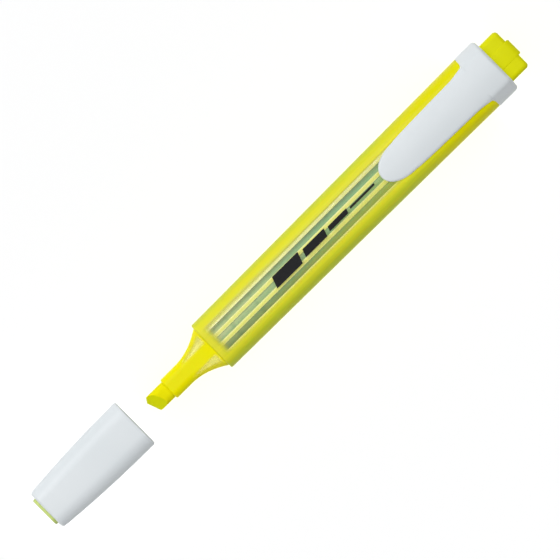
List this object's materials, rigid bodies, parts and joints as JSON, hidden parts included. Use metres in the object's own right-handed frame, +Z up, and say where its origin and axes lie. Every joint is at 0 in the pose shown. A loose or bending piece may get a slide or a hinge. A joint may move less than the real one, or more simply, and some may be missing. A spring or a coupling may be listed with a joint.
{
  "type": "highlighter pen",
  "caption": "Flat pocket highlighter with a clear yellow barrel that shows its ink reservoir, a chisel nib, a white pocket clip and a white slide-off cap lying in line with it.",
  "frame": {"origin": "on the surface the pen lies on, under the centre of the whole object's footprint, cap included", "axes": "+X along the pen from the cap and nib to the tail, +Y across it, +Z up through the clip"},
  "size_m": [0.1658, 0.0164, 0.0139],
  "materials": {
    "barrel_plastic": "clear tinted, polished",
    "section_plastic": "tinted, satin",
    "nib_felt": "pressed fibre soaked in ink",
    "reservoir_fibre": "fibre bundle wet with ink",
    "reservoir_film": "clear film",
    "ink_colour_plastic": "satin",
    "white_plastic": "satin, pale cool grey-white",
    "liner_plastic": "fine matte"
  },
  "bodies": {
    "pen": {"barrel": "barrel_plastic", "front_section": "section_plastic", "nib": "nib_felt", "ink_reservoir": "reservoir_fibre", "reservoir_film": "reservoir_film", "end_plug": "ink_colour_plastic", "clip_collar": "white_plastic"},
    "clip": {"pocket_clip": "white_plastic"},
    "cap": {"cap_shell": "white_plastic", "cap_liner": "liner_plastic"}
  },
  "joints": [
    {"name": "cap_slide", "type": "slide", "parent": "pen", "child": "cap", "axis": [1, 0, 0], "range_m": [0, 0.02685]},
    {"name": "clip_flex", "type": "hinge", "parent": "pen", "child": "clip", "pos_m": [0.0695, 0, 0.0131], "axis": [0, 1, 0], "range_deg": [0, 6], "stiffness_Nm_per_rad": 0.3}
  ]
}
